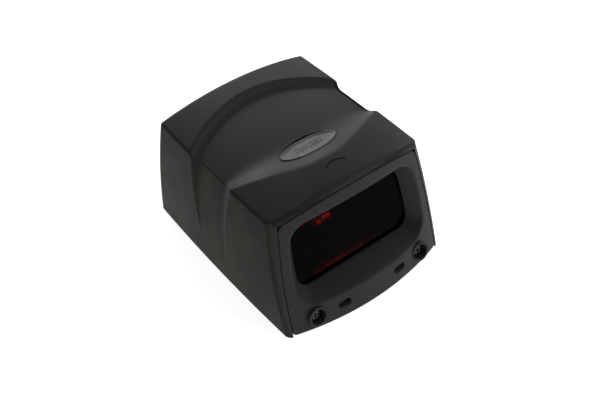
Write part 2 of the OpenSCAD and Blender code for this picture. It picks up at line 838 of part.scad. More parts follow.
module laser_clamp() {
    color([0.6, 0.62, 0.64]) translate([0, clamp_y, beam_z + eps]) difference() {
        union() {
            translate([-8.6, 0, 0]) cube([17.2, 7, 1]);
            translate([-5.5, 0, 0]) cube([11, 7, 4]);
            intersection() {
                along_y([0, 0, 0]) cylinder(r = 5.5, h = 7, $fn = 64);
                translate([-6, 0, 0]) cube([12, 7, 6]);
            }
        }
        along_y([0, -1, 0]) cylinder(r = 4.5 + eps, h = 9, $fn = 64);
        both_sides() translate([clamp_screw_x, 3.5, -1]) cylinder(r = 0.9, h = 9, $fn = 24);
        both_sides() translate([clamp_screw_x, 3.5, 1]) cylinder(r = 1.8, h = 9, $fn = 32);
    }
}

module clamp_screws() {
    color("silver") both_sides()
        translate([clamp_screw_x, clamp_y + 3.5, beam_z + 1 + 2 * eps]) screw(1.6, 1, 0.8, 5);
}

// ---------- receiver ----------

module receiver_housing() {
    color([0.12, 0.12, 0.13]) difference() {
        along_y([receiver_x, 12.4, receiver_z]) {
            cylinder(r = 6.2, h = 9, $fn = 64);
        }
        along_y([receiver_x, 12, receiver_z]) cylinder(r = 4.4, h = 12, $fn = 64);
        along_y([receiver_x, 12, receiver_z]) cylinder(r = 5.2, h = 5.4, $fn = 64);
        along_y([receiver_x, 19.4, receiver_z]) cylinder(r = 5.2, h = 5, $fn = 64);
    }
}

module collector_lens() {
    color([0.7, 0.85, 0.9, 0.6]) along_y([receiver_x, 12.6, receiver_z])
        rotate_extrude($fn = 64) polygon([
            [0, 0], [1.5, 0.2], [3, 0.75], [4.2, 1.5], [5.16, 2.3], [5.16, 3.1], [0, 3.1]
        ]);
}

module detector_filter() {
    color([0.6, 0.05, 0.05, 0.8]) along_y([receiver_x, 15.9, receiver_z])
        cylinder(r = 5.16, h = 1.2, $fn = 64);
}

module photodetector() {
    color([0.15, 0.12, 0.2]) translate([receiver_x - 2.5, 18.1, receiver_z - 2.5]) difference() {
        cube([5, 1.4, 5]);
        translate([1, -1, 1]) cube([3, 1.2, 3]);
    }
}

module detector_board() {
    color("darkgreen") along_y([receiver_x, 19.55, receiver_z]) cylinder(r = 5.16, h = 1, $fn = 64);
}

module shield_can() {
    color("silver") along_y([receiver_x, 20.6, receiver_z]) difference() {
        cylinder(r = 5.16, h = 3, $fn = 64);
        translate([0, 0, -1]) cylinder(r = 4.8, h = 3.7, $fn = 64);
    }
}

top_housing();
base_cover();
front_bezel();
window_gasket();
scan_window();
bezel_screws();
base_screws();
mounting_inserts();
badge_plate();
status_light_guide();
indicator_board();
indicator_leds();
indicator_screws();
flex_cable();
main_board();
board_screws();
logic_chips();
capacitors();
board_sockets();
beeper();
interface_jack();
jack_contacts();
optical_chassis();
chassis_isolators();
chassis_screws();
motor_board();
bearing_sleeve();
thrust_pad();
stator_core();
stator_coils();
motor_shaft();
rotor_cup();
rotor_magnet();
mirror_wheel();
wheel_mirrors();
wheel_clip();
mirror_carrier();
carrier_screws();
pattern_mirrors();
laser_barrel();
laser_lens();
laser_diode();
laser_clamp();
clamp_screws();
receiver_housing();
collector_lens();
detector_filter();
photodetector();
detector_board();
shield_can();
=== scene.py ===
"""Looks of a compact fixed-mount barcode scanner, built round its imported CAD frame."""
import json
import math

import bmesh
import bpy
import numpy as np
from mathutils import Matrix, Vector


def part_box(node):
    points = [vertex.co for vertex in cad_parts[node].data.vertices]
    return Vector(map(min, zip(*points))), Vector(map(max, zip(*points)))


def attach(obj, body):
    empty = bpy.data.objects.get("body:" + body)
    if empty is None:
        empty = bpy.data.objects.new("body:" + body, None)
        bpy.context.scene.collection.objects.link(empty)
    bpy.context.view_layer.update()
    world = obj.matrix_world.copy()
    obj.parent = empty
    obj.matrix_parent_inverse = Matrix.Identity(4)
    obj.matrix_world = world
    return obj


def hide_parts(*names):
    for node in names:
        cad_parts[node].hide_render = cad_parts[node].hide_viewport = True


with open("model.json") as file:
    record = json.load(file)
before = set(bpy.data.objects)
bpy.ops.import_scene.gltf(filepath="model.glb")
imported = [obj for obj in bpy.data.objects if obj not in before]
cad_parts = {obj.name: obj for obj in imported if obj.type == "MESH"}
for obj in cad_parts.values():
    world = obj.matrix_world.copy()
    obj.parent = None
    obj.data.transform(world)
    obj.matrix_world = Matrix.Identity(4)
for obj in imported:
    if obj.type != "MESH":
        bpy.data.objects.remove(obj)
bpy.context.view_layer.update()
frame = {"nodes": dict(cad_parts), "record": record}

MM = 0.001


def node_box(name):
    """Lowest and highest corner of a CAD node in millimetres."""
    low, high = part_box(name)
    return np.array(low) / MM, np.array(high) / MM


# ---------------------------------------------------------------- housing shape, in millimetres
HOOD_HIGH = node_box("top_housing")[1]
BEZEL_LOW = node_box("front_bezel")[0]
SIDE = HOOD_HIGH[0] - 0.02     # half width in the middle of the side walls, at the underside
REAR = HOOD_HIGH[1]            # rear face
BEZEL_LIFT = BEZEL_LOW[2]      # lower edge of the bezel above the underside
LEAN = math.radians(19.25)     # backward lean of the front face
FRONT = BEZEL_LOW[1] - BEZEL_LIFT * math.tan(LEAN)
FRONT_R = 134.0                # bow of the front face
BULGE = 1.26                   # swell of a side wall between its ends
DRAFT = math.radians(4.6)      # lean of the side walls
BARREL = 1.15                  # how far they swell out at half their height
CROWN_R = 138.0                # crown of the top
TILT = math.radians(1.5)       # rise of the top towards the front
REAR_H = 50.1                  # height of the top at the rear face
WALL = 2.2
EDGE_R = 1.5                   # rounding between the top and the sides
REAR_R = 2.0                   # rounding round the rear face
GAP = 0.35                     # gap round the bezel
RABBET = 2.6                   # depth of the seat that holds the bezel plate
CROWN_HALF = 33.0              # half width of the top, roughly
RIM_REACH = 46.0               # height of the rim beside the bezel

# waist across the top and down the sides
WAIST_REACH = 44.0             # height of the side walls, roughly
WAIST_FADE = 9.0               # height on the side walls where the waist runs out
WAIST_DEEP, WAIST_SIDE = 2.7, 2.15     # depth on the centre line, and at the top of the side walls
WAIST_REAR, WAIST_FRONT = 36.1, -13.2  # outer creases on the centre line
SIDE_FLANK = 1.65              # run of a flank on the side walls for each unit of depth
REAR_FLANK, FRONT_FLANK = 3.56, 12.0   # run of the flanks on the centre line

SIDE_COLS, EDGE_COLS, CROWN_COLS = 36, 9, 62


def arch_drop(radius, x):
    """How far a circle of that radius falls away at x."""
    return radius - np.sqrt(radius * radius - x * x)


def front_depth(x):
    """How far the bowed front face lies behind its tangent plane."""
    return arch_drop(FRONT_R, x)


def front_surface(x, z):
    """y of the front face at x and z."""
    return FRONT + z * math.tan(LEAN) + front_depth(x) / math.cos(LEAN)


def side_wall(z):
    """How far a side wall has come in at height z, and the angle it leans at there."""
    u = z / REAR_H
    inward = z * math.tan(DRAFT) - 4 * BARREL * u * (1 - u)
    return inward, np.arctan(math.tan(DRAFT) - 4 * BARREL * (1 - 2 * u) / REAR_H)


def side_rim(z):
    """Width of the housing's rounded rim beside the bezel, at height z."""
    return 1.95 + 0.85 * z / RIM_REACH


def top_rim(x):
    """Width of the rim above the bezel."""
    return 1.5 + 0.75 * (x / 31) ** 2


def smooth_min(a, b, k):
    k = np.maximum(k, 1e-6)
    h = np.clip(0.5 + 0.5 * (b - a) / k, 0, 1)
    return b + (a - b) * h - k * h * (1 - h)


def half_columns():
    """Kind and fraction of the columns of the right half, from the underside to the centre line."""
    side = [(0, i / SIDE_COLS) for i in range(SIDE_COLS + 1)]
    edge = [(1, i / EDGE_COLS) for i in range(1, EDGE_COLS)]
    crown = [(2, 1 - i / CROWN_COLS) for i in range(CROWN_COLS + 1)]
    return np.array(side + edge + crown, float)


COLS = half_columns()
KIND, FRAC = COLS[:, 0], COLS[:, 1]


def section(y):
    """Points and outward normals of the right half of the housing's section, y given per column."""
    foot = SIDE - BULGE * (y / REAR) ** 2
    top = REAR_H + (REAR - y) * math.tan(TILT)
    zc, phi = top - 4, DRAFT
    for _ in range(12):
        inward, phi = side_wall(zc + EDGE_R * np.sin(phi))
        xc = foot - inward - EDGE_R * np.cos(phi)
        zc = top - arch_drop(CROWN_R, xc) - EDGE_R * np.sqrt(1 + (xc / CROWN_R) ** 2)
    turn_end = np.arctan2(np.sqrt(CROWN_R ** 2 - xc ** 2), xc)
    # side wall
    z_side = FRAC * (zc + EDGE_R * np.sin(phi))
    inward, lean = side_wall(z_side)
    side = np.stack([foot - inward, z_side], 1)
    # rounded edge
    turn = np.where(KIND == 0, lean, phi + FRAC * (turn_end - phi))
    edge = np.stack([xc + EDGE_R * np.cos(turn), zc + EDGE_R * np.sin(turn)], 1)
    # crown
    x_crown = FRAC * (xc + EDGE_R * np.cos(turn_end))
    crown = np.stack([x_crown, top - arch_drop(CROWN_R, x_crown)], 1)
    turn = np.where(KIND == 2, np.arccos(np.clip(x_crown / CROWN_R, -1, 1)), turn)
    points = np.where((KIND == 0)[:, None], side, np.where((KIND == 1)[:, None], edge, crown))
    return points, np.stack([np.cos(turn), np.sin(turn)], 1)


def per_column(side_value, crown_value):
    """A value given on the side walls and on the crown, carried smoothly round the edge between."""
    s_end, c_end = side_value[KIND == 0][-1], crown_value[KIND == 2][0]
    ease = FRAC * FRAC * (3 - 2 * FRAC)
    edge = s_end + (c_end - s_end) * ease
    return np.where(KIND == 0, side_value, np.where(KIND == 2, crown_value, edge))


def waist_lines():
    """Depth of the waist and the lines of its four creases, per column."""
    z = FRAC * WAIST_REACH
    x = FRAC * CROWN_HALF
    sink = np.clip((z - WAIST_FADE) / (WAIST_REACH - WAIST_FADE), 0, 1)
    side_deep = WAIST_SIDE * sink * (0.35 + 0.65 * sink)
    side_run = SIDE_FLANK * side_deep
    deep = per_column(side_deep, WAIST_DEEP - 0.5 * (x / 35) ** 2)
    rear_floor = 10.7 + 0.336 * z - 0.00305 * z * z
    rear_crest = per_column(rear_floor + side_run, WAIST_REAR - 12.6 * (x / 35) ** 2)
    front_floor = 1.55 - 0.0036 * (46 - z) ** 2
    bell = ((x ** 4 + 8.0 ** 4) ** 0.25 - 8) / 28.0
    front_crest = per_column(front_floor - side_run, WAIST_FRONT + 13.1 * bell)
    rear_run = np.maximum(per_column(side_run, REAR_FLANK + 0.1 * (x / 35) ** 2), 0.7)
    front_run = np.maximum(per_column(side_run, FRONT_FLANK - 8.4 * (x / CROWN_HALF) ** 2), 0.7)
    return deep, front_crest, front_run, rear_crest, rear_run


DEEP, FRONT_CREST, FRONT_RUN, REAR_CREST, REAR_RUN = waist_lines()


def waist_depth(y):
    """How far the waist sinks the surface at y, per column."""
    soft = np.minimum(0.9, 0.5 * DEEP)
    front = (y - FRONT_CREST) / FRONT_RUN * DEEP
    rear = (REAR_CREST - y) / REAR_RUN * DEEP
    deep = smooth_min(smooth_min(front, rear, soft), DEEP, soft * 1.3)
    return -smooth_min(-deep, 0 * deep, np.minimum(0.35, 0.3 * DEEP))


def ring(y, inset):
    """One row of the right half: (x, y, z), with the waist and an extra inset along the normal."""
    points, normals = section(y)
    points = points - normals * np.reshape(inset + waist_depth(y), (-1, 1))
    return np.stack([points[:, 0], y, np.maximum(points[:, 1], 0)], 1)


def front_ring(behind, inset):
    """One row at a set distance behind the front face."""
    y = front_surface(np.full(len(FRAC), 30.0), 20.0) + behind
    for _ in range(8):
        row = ring(y, inset)
        y = front_surface(row[:, 0], row[:, 2]) + behind
    return ring(y, inset)


def eased(count):
    """Fractions from 0 to 1, closer together at both ends."""
    return [(1 - math.cos(math.pi * i / count)) / 2 for i in range(count)]


def rim_profile():
    """Depth and width of the band that turns from the housing's surface into its front rim."""
    x, z = FRAC * CROWN_HALF, FRAC * RIM_REACH
    deep = per_column(side_rim(z), 0.9 + 1.6 * np.exp(-(x / 20) ** 4))
    wide = per_column(side_rim(z), top_rim(x))
    flat = per_column(0 * x, 0.6 - 0.3 * (x / CROWN_HALF) ** 2)
    return deep, wide, flat


def hood_rows():
    """Every row of the housing's right half: in along the inner surface, out over the outer one."""
    deep, wide, flat = rim_profile()
    thin = WALL * 0.98
    start = front_ring(deep, 0)[:, 1]
    creases = [start, FRONT_CREST, FRONT_CREST + FRONT_RUN,
               REAR_CREST - REAR_RUN, REAR_CREST, np.full(len(FRAC), REAR - REAR_R)]
    counts = [22, 18, 18, 16, 18]
    outer = []
    for a, b, n in zip(creases, creases[1:], counts):
        outer += [ring(a + (b - a) * f, 0) for f in eased(n)]
    for i in range(9):
        turn = math.pi / 2 * i / 8
        outer.append(ring(np.full(len(FRAC), REAR - REAR_R + REAR_R * math.sin(turn)),
                          REAR_R * (1 - math.cos(turn))))
    rim = []
    for i in range(12):
        f = i / 12
        a = flat * (1 - f) + (1 - flat) * (1 - math.sin(math.pi / 2 * f))
        b = flat * f + (1 - flat) * (1 - math.cos(math.pi / 2 * f))
        rim.append(front_ring(deep * a, wide * b))
    rim.append(front_ring(0 * deep, wide))
    seat = [front_ring(0 * deep + 0.12, wide + 0.05), front_ring(0 * deep + RABBET, wide + 0.05)]
    lip = np.maximum(thin, wide + 0.5)
    inner = [front_ring(0 * deep + RABBET, lip)]
    first = inner[0][:, 1]
    starts = [first, np.maximum(FRONT_CREST, first + 1)] + creases[2:5]
    starts += [np.full(len(FRAC), REAR - WALL)]
    for a, b in zip(starts, starts[1:]):
        for f in eased(7)[1:] + [1.0]:
            y = a + (b - a) * f
            fade = np.clip((y - first) / 8, 0, 1)
            inner.append(ring(y, lip + (thin - lip) * fade))
    return inner[::-1] + seat[::-1] + rim[::-1] + outer[1:]


def mirrored(row):
    """Full row from its right half: left underside, over the top, right underside."""
    left = row.copy()
    left[:, 0] *= -1
    return np.concatenate([left, row[::-1][1:]])


# ---------------------------------------------------------------- mesh helpers
def make_object(name, verts, faces, sharp=35):
    """Mesh object from points in millimetres, smooth except where it turns by more than sharp."""
    mesh = bpy.data.meshes.new(name)
    mesh.from_pydata((np.asarray(verts) * MM).tolist(), [], faces)
    obj = bpy.data.objects.new(name, mesh)
    bpy.context.scene.collection.objects.link(obj)
    tidy(obj, sharp)
    return obj


def tidy(obj, sharp):
    """Outward normals, and smooth shading up to a crease angle in degrees."""
    bm = bmesh.new()
    bm.from_mesh(obj.data)
    bmesh.ops.remove_doubles(bm, verts=bm.verts, dist=1e-7)
    bmesh.ops.recalc_face_normals(bm, faces=bm.faces)
    bm.to_mesh(obj.data)
    bm.free()
    obj.data.polygons.foreach_set("use_smooth", [True] * len(obj.data.polygons))
    obj.data.set_sharp_from_angle(angle=math.radians(sharp))


def grid_faces(rows, cols, closed_rows=False, closed_cols=False):
    """Quads of a grid of rows and columns that may close on itself."""
    faces = []
    for i in range(rows if closed_rows else rows - 1):
        for j in range(cols if closed_cols else cols - 1):
            a, b = i * cols + j, i * cols + (j + 1) % cols
            c, d = (i + 1) % rows * cols + (j + 1) % cols, (i + 1) % rows * cols + j
            faces.append((a, b, c, d))
    return faces


def prism(name, outline, low, high, place=None):
    """Straight prism of an outline from low to high along local z, placed by a matrix."""
    n = len(outline)
    verts = [(x, y, z) for z in (low, high) for x, y in outline]
    faces = grid_faces(2, n, closed_cols=True) + [tuple(range(n))[::-1], tuple(range(n, 2 * n))]
    obj = make_object(name, verts, faces)
    if place is not None:
        obj.data.transform(place)
    return obj


def cone(name, r_low, r_high, low, high, place, sides=96):
    """Cut cone along local z, placed by a matrix."""
    spin = [2 * math.pi * i / sides for i in range(sides)]
    verts = [(r * math.cos(a), r * math.sin(a), z)
             for r, z in ((r_low, low), (r_high, high)) for a in spin]
    ends = [tuple(range(sides))[::-1], tuple(range(sides, 2 * sides))]
    obj = make_object(name, verts, grid_faces(2, sides, closed_cols=True) + ends)
    obj.data.transform(place)
    return obj


def combine(obj, others, operation, sharp=35):
    """Adds or cuts other solids, then removes them."""
    for other in others:
        step = obj.modifiers.new("step", "BOOLEAN")
        step.object = other
        step.operation = operation
        step.solver = "EXACT"
    depsgraph = bpy.context.evaluated_depsgraph_get()
    result = bpy.data.meshes.new_from_object(obj.evaluated_get(depsgraph))
    obj.modifiers.clear()
    obj.data = result
    for other in others:
        bpy.data.objects.remove(other)
    tidy(obj, sharp)


def place(x, y, z, tilt=0.0):
    """Matrix that sets a piece at a point in millimetres, tilted about X."""
    return Matrix.Translation(Vector((x, y, z)) * MM) @ Matrix.Rotation(tilt, 4, "X")


def oval(a, b, count=160):
    spin = [2 * math.pi * i / count for i in range(count)]
    return [(a * math.cos(t), b * math.sin(t)) for t in spin]


def rounded_box(w, h, r, steps=8):
    """Outline of a rectangle with round corners."""
    points = []
    for k, (sx, sy) in enumerate([(1, 1), (-1, 1), (-1, -1), (1, -1)]):
        for i in range(steps + 1):
            t = math.pi / 2 * (k + i / steps)
            points.append((sx * (w / 2 - r) + r * math.cos(t), sy * (h / 2 - r) + r * math.sin(t)))
    return points


# ---------------------------------------------------------------- housing
BADGE = np.array([0.0, -2.65, 49.3])   # centre of the badge's top
BADGE_TILT = math.radians(-12.7)
BADGE_A, BADGE_B, BADGE_T = 13.0, 5.2, 0.8
LIGHT_Y, LIGHT_R, LIGHT_W = -23.9, 7.0, 0.7
LIGHT_SPAN = math.radians(41)


def light_slot():
    """Outline of the arc-shaped slot of the status light."""
    arc = [LIGHT_SPAN * (2 * i / 40 - 1) for i in range(41)]
    far, near = LIGHT_R + LIGHT_W / 2 + 0.05, LIGHT_R - LIGHT_W / 2 - 0.05
    return ([(far * math.sin(t), LIGHT_Y + far * math.cos(t)) for t in arc]
            + [(near * math.sin(t), LIGHT_Y + near * math.cos(t)) for t in arc[::-1]])


def build_hood():
    rows = [mirrored(r) for r in hood_rows()]
    n_rows, n_cols = len(rows), len(rows[0])
    faces = grid_faces(n_rows, n_cols)
    first, last = range(n_cols), range((n_rows - 1) * n_cols, n_rows * n_cols)
    faces += [tuple(first), tuple(last)]
    left = [i * n_cols for i in range(n_rows)]
    right = [i * n_cols + n_cols - 1 for i in range(n_rows)]
    faces.append(tuple(left + right[::-1]))
    hood = make_object("hood_shell", np.concatenate(rows), faces)
    jack_low, jack_high = node_box("interface_jack")
    middle = (jack_low + jack_high) / 2
    size = jack_high - jack_low + 0.6
    jack_hole = prism("jack_hole", rounded_box(size[0], size[2], 0.6), -6, 6,
                      place(middle[0], REAR, middle[2], math.radians(90)))
    badge_hole = prism("badge_hole", oval(BADGE_A + 0.3, BADGE_B + 0.3), -BADGE_T, 8,
                       place(*BADGE, BADGE_TILT))
    light_hole = prism("light_hole", light_slot(), 40, 60)
    combine(hood, [jack_hole, badge_hole, light_hole], "DIFFERENCE")
    return hood


# ---------------------------------------------------------------- bezel
RECESS_D = 9.0                 # depth of the window seat
WINDOW_HALF, WINDOW_LOW, WINDOW_HIGH, WINDOW_R = 27.4, 16.9, 45.0, 5.5
LIP_R = 0.75                   # rounding of the recess's front edge
LOW_COLS, CORNER_COLS, SIDE_RUN = 56, 16, 34


def bezel_point(x, s, depth):
    """Point of the front face's own frame: s runs up the lean, depth runs into the housing."""
    x, s, depth = np.broadcast_arrays(x, s, depth)
    y = FRONT + s * math.sin(LEAN) + depth * math.cos(LEAN)
    z = s * math.cos(LEAN) - depth * math.sin(LEAN)
    return np.stack([x, y, z], -1)


def bezel_half(s, extra):
    """Half width of the front face at s, inside the housing's rim and an extra margin."""
    s = np.asarray(s, float)
    x = np.full(s.shape, 36.0)
    for _ in range(8):
        p = bezel_point(x, s, front_depth(x))
        inward, lean = side_wall(p[..., 2])
        x = (SIDE - BULGE * (p[..., 1] / REAR) ** 2 - inward
             - (side_rim(p[..., 2]) + extra) / np.cos(lean))
    return x


def closed_outline(half, low, high, r_low, r_high):
    """Closed outline of (x, s) points between two edges and two mirrored sides, corners rounded."""
    def corner(edge, guess):
        s = guess
        for _ in range(20):
            s = float(edge(float(half(s))))
        return float(half(s)), s

    def bend(p0, c, p1):
        """Round corner from p0 to p1 by way of the corner c."""
        k = 0.5523
        a, b = p0 + (c - p0) * k, p1 + (c - p1) * k
        t = np.linspace(0, 1, CORNER_COLS + 1)[1:-1, None]
        return ((1 - t) ** 3 * p0 + 3 * (1 - t) ** 2 * t * a
                + 3 * (1 - t) * t * t * b + t ** 3 * p1)

    (xl, sl), (xh, sh) = corner(low, 5.0), corner(high, 45.0)
    x_low = np.linspace(0, xl - r_low, LOW_COLS // 2 + 1)
    bottom = np.stack([x_low, [float(low(v)) for v in x_low]], 1)
    s_side = np.linspace(sl + r_low, sh - r_high, SIDE_RUN + 1)
    side = np.stack([[float(half(v)) for v in s_side], s_side], 1)
    x_high = np.linspace(xh - r_high, 0, LOW_COLS // 2 + 1)
    top = np.stack([x_high, [float(high(v)) for v in x_high]], 1)
    right = np.concatenate([bottom, bend(bottom[-1], np.array([xl, sl]), side[0]), side,
                            bend(side[-1], np.array([xh, sh]), top[0]), top])
    left = right[::-1][1:-1] * [-1, 1]
    return np.concatenate([right, left])


def outward(outline):
    """Unit normals of a closed outline, pointing out."""
    run = np.roll(outline, -1, 0) - np.roll(outline, 1, 0)
    run /= np.linalg.norm(run, axis=1)[:, None]
    return np.stack([run[:, 1], -run[:, 0]], 1)


def gap_outline(extra):
    """Outline inside the housing's rim, by an extra margin."""
    def low(x):
        return (BEZEL_LIFT + front_depth(x) * math.sin(LEAN)) / math.cos(LEAN) + extra - GAP

    def high(x):
        top = REAR_H + (REAR - front_surface(x, REAR_H)) * math.tan(TILT) - arch_drop(CROWN_R, x)
        return (top - top_rim(x) + front_depth(x) * math.sin(LEAN)) / math.cos(LEAN) - extra
    return closed_outline(lambda s: bezel_half(s, extra), low, high, 1.2, 2.2)


def recess_outline():
    """Front edge of the recess, on the front face."""
    def half(s):
        return 31.9 - 1.5 * np.maximum((s - 22) / 19, 0) ** 2 - 0.5 * np.maximum((20 - s) / 8, 0) ** 2
    return closed_outline(half, lambda x: 10.9 + 1.5 * (x / 26) ** 2,
                          lambda x: 47.85 - 0.9 * (x / 26) ** 2, 7.5, 6.5)


def window_outline(grow, radius):
    def half(s):
        return WINDOW_HALF + grow - 2.4 * np.maximum((s - 24) / 21, 0) ** 2
    return closed_outline(half, lambda x: WINDOW_LOW - grow + 0 * x,
                          lambda x: WINDOW_HIGH + grow + 0 * x, radius, radius)


def bezel_rings():
    """Rings of the bezel, from the plate's front edge over the recess and round the back."""
    edge, plate = gap_outline(GAP), gap_outline(GAP + 0.4)
    recess, window = recess_outline(), window_outline(0, WINDOW_R)
    out = outward(recess)

    def on_face(outline, behind):
        return bezel_point(outline[:, 0], outline[:, 1], front_depth(outline[:, 0]) + behind)

    rings = [on_face(edge, 1.2), on_face(edge, 0.45)]
    for f in (0.25, 0.5, 0.75):
        turn = math.pi / 2 * f
        rings.append(on_face(edge + (plate - edge) * (1 - math.cos(turn)),
                             0.4 * (1 - math.sin(turn))))
    lip = recess + out * LIP_R
    rings += [on_face(plate + (lip - plate) * f, 0) for f in np.linspace(0, 1, 15)]
    mouth = bezel_point(recess[:, 0], recess[:, 1], front_depth(recess[:, 0]))
    seat = bezel_point(window[:, 0], window[:, 1], RECESS_D)
    wall = seat - mouth
    down = mouth + wall / np.linalg.norm(wall, axis=1)[:, None] * LIP_R
    start = on_face(lip, 0)
    rings += [(1 - f) ** 2 * start + 2 * f * (1 - f) * mouth + f * f * down
              for f in np.linspace(0, 1, 8)[1:]]
    rings += [down + (seat - down) * f for f in np.linspace(0, 1, 15)[1:-1]]
    # slightly rounded edge at the window, then the seat and the frame behind it
    rings += [seat - wall / np.linalg.norm(wall, axis=1)[:, None] * 0.25]
    rings += [bezel_point(*window_outline(0.12, WINDOW_R).T, RECESS_D)]
    rings += [bezel_point(*window_outline(1.9, 1.5).T, d) for d in (RECESS_D, RECESS_D + 3.1)]
    rings += [bezel_point(*window_outline(3.3, 2.5).T, d) for d in (RECESS_D + 3.1, RECESS_D - 1)]
    back = recess + out * 1.9
    rings += [on_face(back, 2.8), on_face(back + out * 0.8, 2.4), on_face(edge, 2.4)]
    for points in rings:
        points[:, 2] = np.maximum(points[:, 2], BEZEL_LIFT)
    return rings


SCREW_X, SCREW_S, SEAT_D = 26.3, 6.6, 5.6      # place and depth of the screw seats on the face
SLOT_X, SLOT_Z, SLOT_W, SLOT_H = 14.0, 5.6, 5.6, 2.8


def front_frame(x, s, depth):
    """Matrix of a frame square to the front face's tangent plane, its z pointing out."""
    lean = Matrix.Rotation(math.radians(90) - LEAN, 4, "X")
    return (Matrix.Translation((0, FRONT * MM, 0)) @ lean
            @ Matrix.Translation((x * MM, s * MM, -depth * MM)))


def build_bezel():
    rings = bezel_rings()
    n = len(rings[0])
    faces = grid_faces(len(rings), n, closed_rows=True, closed_cols=True)
    bezel = make_object("bezel_plate", np.concatenate(rings), faces, 40)
    bosses, holes = [], []
    square_to_face = Matrix.Rotation(math.radians(90) - LEAN, 4, "X")
    for side in (-1, 1):
        x = side * SCREW_X
        at = front_frame(x, SCREW_S, SEAT_D)
        bosses.append(cone("boss", 4.1, 4.1, -0.9, 4, at))
        holes.append(cone("bore", 3.25, 3.25, 0, 16, at))
        holes.append(cone("pilot", 1.5, 1.5, -4, 1, at))
        # chamfer that follows the face
        bow = Matrix.Rotation(math.asin(x / FRONT_R), 4, "Y")
        at = front_frame(x, SCREW_S, front_depth(x)) @ bow
        holes.append(cone("flare", 3.2, 3.95, -0.35, 0.4, at))
        # latch slot, cut straight back, with a chamfer
        y = front_surface(side * SLOT_X, SLOT_Z)
        outline = rounded_box(SLOT_W, SLOT_H, SLOT_H / 2 - 0.01, 16)
        holes.append(prism("slot", outline, -8, 8,
                           place(side * SLOT_X, y, SLOT_Z, math.radians(90))))
        bow = Matrix.Rotation(math.asin(side * SLOT_X / FRONT_R), 4, "Y")
        at = Matrix.Translation(Vector((side * SLOT_X, y, SLOT_Z)) * MM) @ square_to_face @ bow
        holes.append(flared_slot(at))
    combine(bezel, bosses, "UNION")
    combine(bezel, holes, "DIFFERENCE", 40)
    return bezel


def flared_slot(at):
    """Chamfer round a slot, as a slot-shaped solid that widens outwards."""
    low = rounded_box(SLOT_W, SLOT_H, SLOT_H / 2 - 0.01, 16)
    high = rounded_box(SLOT_W + 1.6, SLOT_H + 1.6, SLOT_H / 2 + 0.79, 16)
    n = len(low)
    verts = [(x, y, -0.3) for x, y in low] + [(x, y, 0.5) for x, y in high]
    faces = grid_faces(2, n, closed_cols=True) + [tuple(range(n))[::-1], tuple(range(n, 2 * n))]
    obj = make_object("slot_flare", verts, faces)
    obj.data.transform(at)
    return obj


# ---------------------------------------------------------------- badge
def build_badge():
    """Oval plate with a raised rounded rim, and a plain row of raised bars in its field."""
    profile = [(0.0, -BADGE_T), (0.0, -0.25), (0.08, -0.08), (0.22, 0.0), (0.75, 0.0),
               (0.9, -0.05), (1.02, -0.2), (1.15, -0.24)]
    count = 160
    rings = []
    for inset, z in profile:
        rings.append([(x, y, z) for x, y in oval(BADGE_A - inset, BADGE_B - inset, count)])
    verts = [p for r in rings for p in r]
    faces = grid_faces(len(rings), count, closed_cols=True)
    faces.append(tuple(range(count))[::-1])
    field = [tuple(v * f for v in (BADGE_A - 1.15, BADGE_B - 1.15)) for f in (0.66, 0.33)]
    start = len(verts)
    for a, b in field:
        verts += [(x, y, -0.24) for x, y in oval(a, b, count)]
    verts.append((0, 0, -0.24))
    last = start - count
    for ring_start in (start, start + count):
        faces += [(last + i, last + (i + 1) % count, ring_start + (i + 1) % count, ring_start + i)
                  for i in range(count)]
        last = ring_start
    centre = len(verts) - 1
    faces += [(last + i, last + (i + 1) % count, centre) for i in range(count)]
    plate = make_object("badge_oval", verts, faces)
    bars = []
    widths, space = [0.55, 0.3, 0.8, 0.3, 0.55, 0.95, 0.3, 0.55, 0.3, 0.8, 0.3], 0.62
    x = -sum(w + space for w in widths) / 2 + space / 2
    for w in widths:
        at = Matrix.Translation(Vector((x + w / 2, 0, 0)) * MM)
        bars.append(prism("bar", rounded_box(w, 3.1, min(w, 0.5) / 2 - 0.02, 4), -0.4, -0.1, at))
        x += w + space
    combine(plate, bars, "UNION", 30)
    plate.data.transform(place(*BADGE, BADGE_TILT))
    return plate


# ---------------------------------------------------------------- materials
def new_material(name):
    mat = bpy.data.materials.new(name)
    mat.use_nodes = True
    return mat, mat.node_tree.nodes, mat.node_tree.links, mat.node_tree.nodes["Principled BSDF"]


def add(nodes, kind, **values):
    """New node with its properties, or its inputs by name, set."""
    node = nodes.new(kind)
    for key, value in values.items():
        label = key.replace("_", " ").title()
        if label in node.inputs and not hasattr(node, key):
            node.inputs[label].default_value = value
        else:
            setattr(node, key, value)
    return node


def noise(nodes, links, coords, scale, detail=3.0, stretch=None):
    """Noise factor on the object's own coordinates, optionally stretched along an axis."""
    tex = add(nodes, "ShaderNodeTexNoise", scale=scale, detail=detail)
    if stretch is None:
        links.new(coords, tex.inputs["Vector"])
    else:
        scaled = add(nodes, "ShaderNodeMapping")
        scaled.inputs["Scale"].default_value = stretch
        links.new(coords, scaled.inputs["Vector"])
        links.new(scaled.outputs["Vector"], tex.inputs["Vector"])
    return tex.outputs["Fac"]


def remap(nodes, links, value, low, high, to_low, to_high):
    """Value from one range to another, clamped."""
    node = add(nodes, "ShaderNodeMapRange")
    for name, number in (("From Min", low), ("From Max", high), ("To Min", to_low),
                         ("To Max", to_high)):
        node.inputs[name].default_value = number
    links.new(value, node.inputs["Value"])
    return node.outputs["Result"]


def math_node(nodes, links, operation, a, b):
    node = add(nodes, "ShaderNodeMath", operation=operation)
    for slot, value in zip(node.inputs, (a, b)):
        if isinstance(value, (int, float)):
            slot.default_value = value
        else:
            links.new(value, slot)
    return node.outputs[0]


